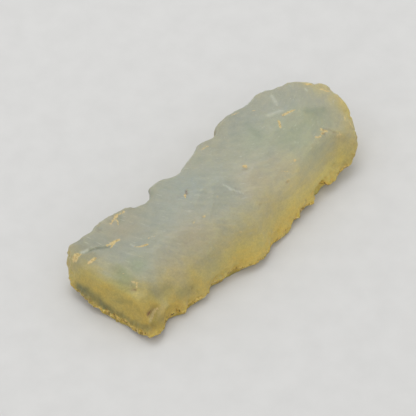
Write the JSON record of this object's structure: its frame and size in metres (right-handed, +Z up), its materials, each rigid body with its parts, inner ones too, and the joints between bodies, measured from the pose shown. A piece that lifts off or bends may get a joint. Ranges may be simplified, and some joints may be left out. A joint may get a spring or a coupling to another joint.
{
  "type": "rough opal",
  "caption": "Stick-shaped piece of rough common opal with a square-broken end, a rounded end, a milky upper side, amber edges and a flat underside to rest on.",
  "frame": {"origin": "middle of the bounding box, on the flat underside that the stone rests on", "axes": "+X along the stone from its square broken end to its rounded end, +Y towards the back edge, +Z up out of the upper side"},
  "size_m": [0.0402, 0.0154, 0.0072],
  "materials": {
    "opal": "satin, translucent and milky, amber at the thin edges"
  },
  "bodies": {
    "root": {"opal_stone": "opal"}
  },
  "joints": []
}
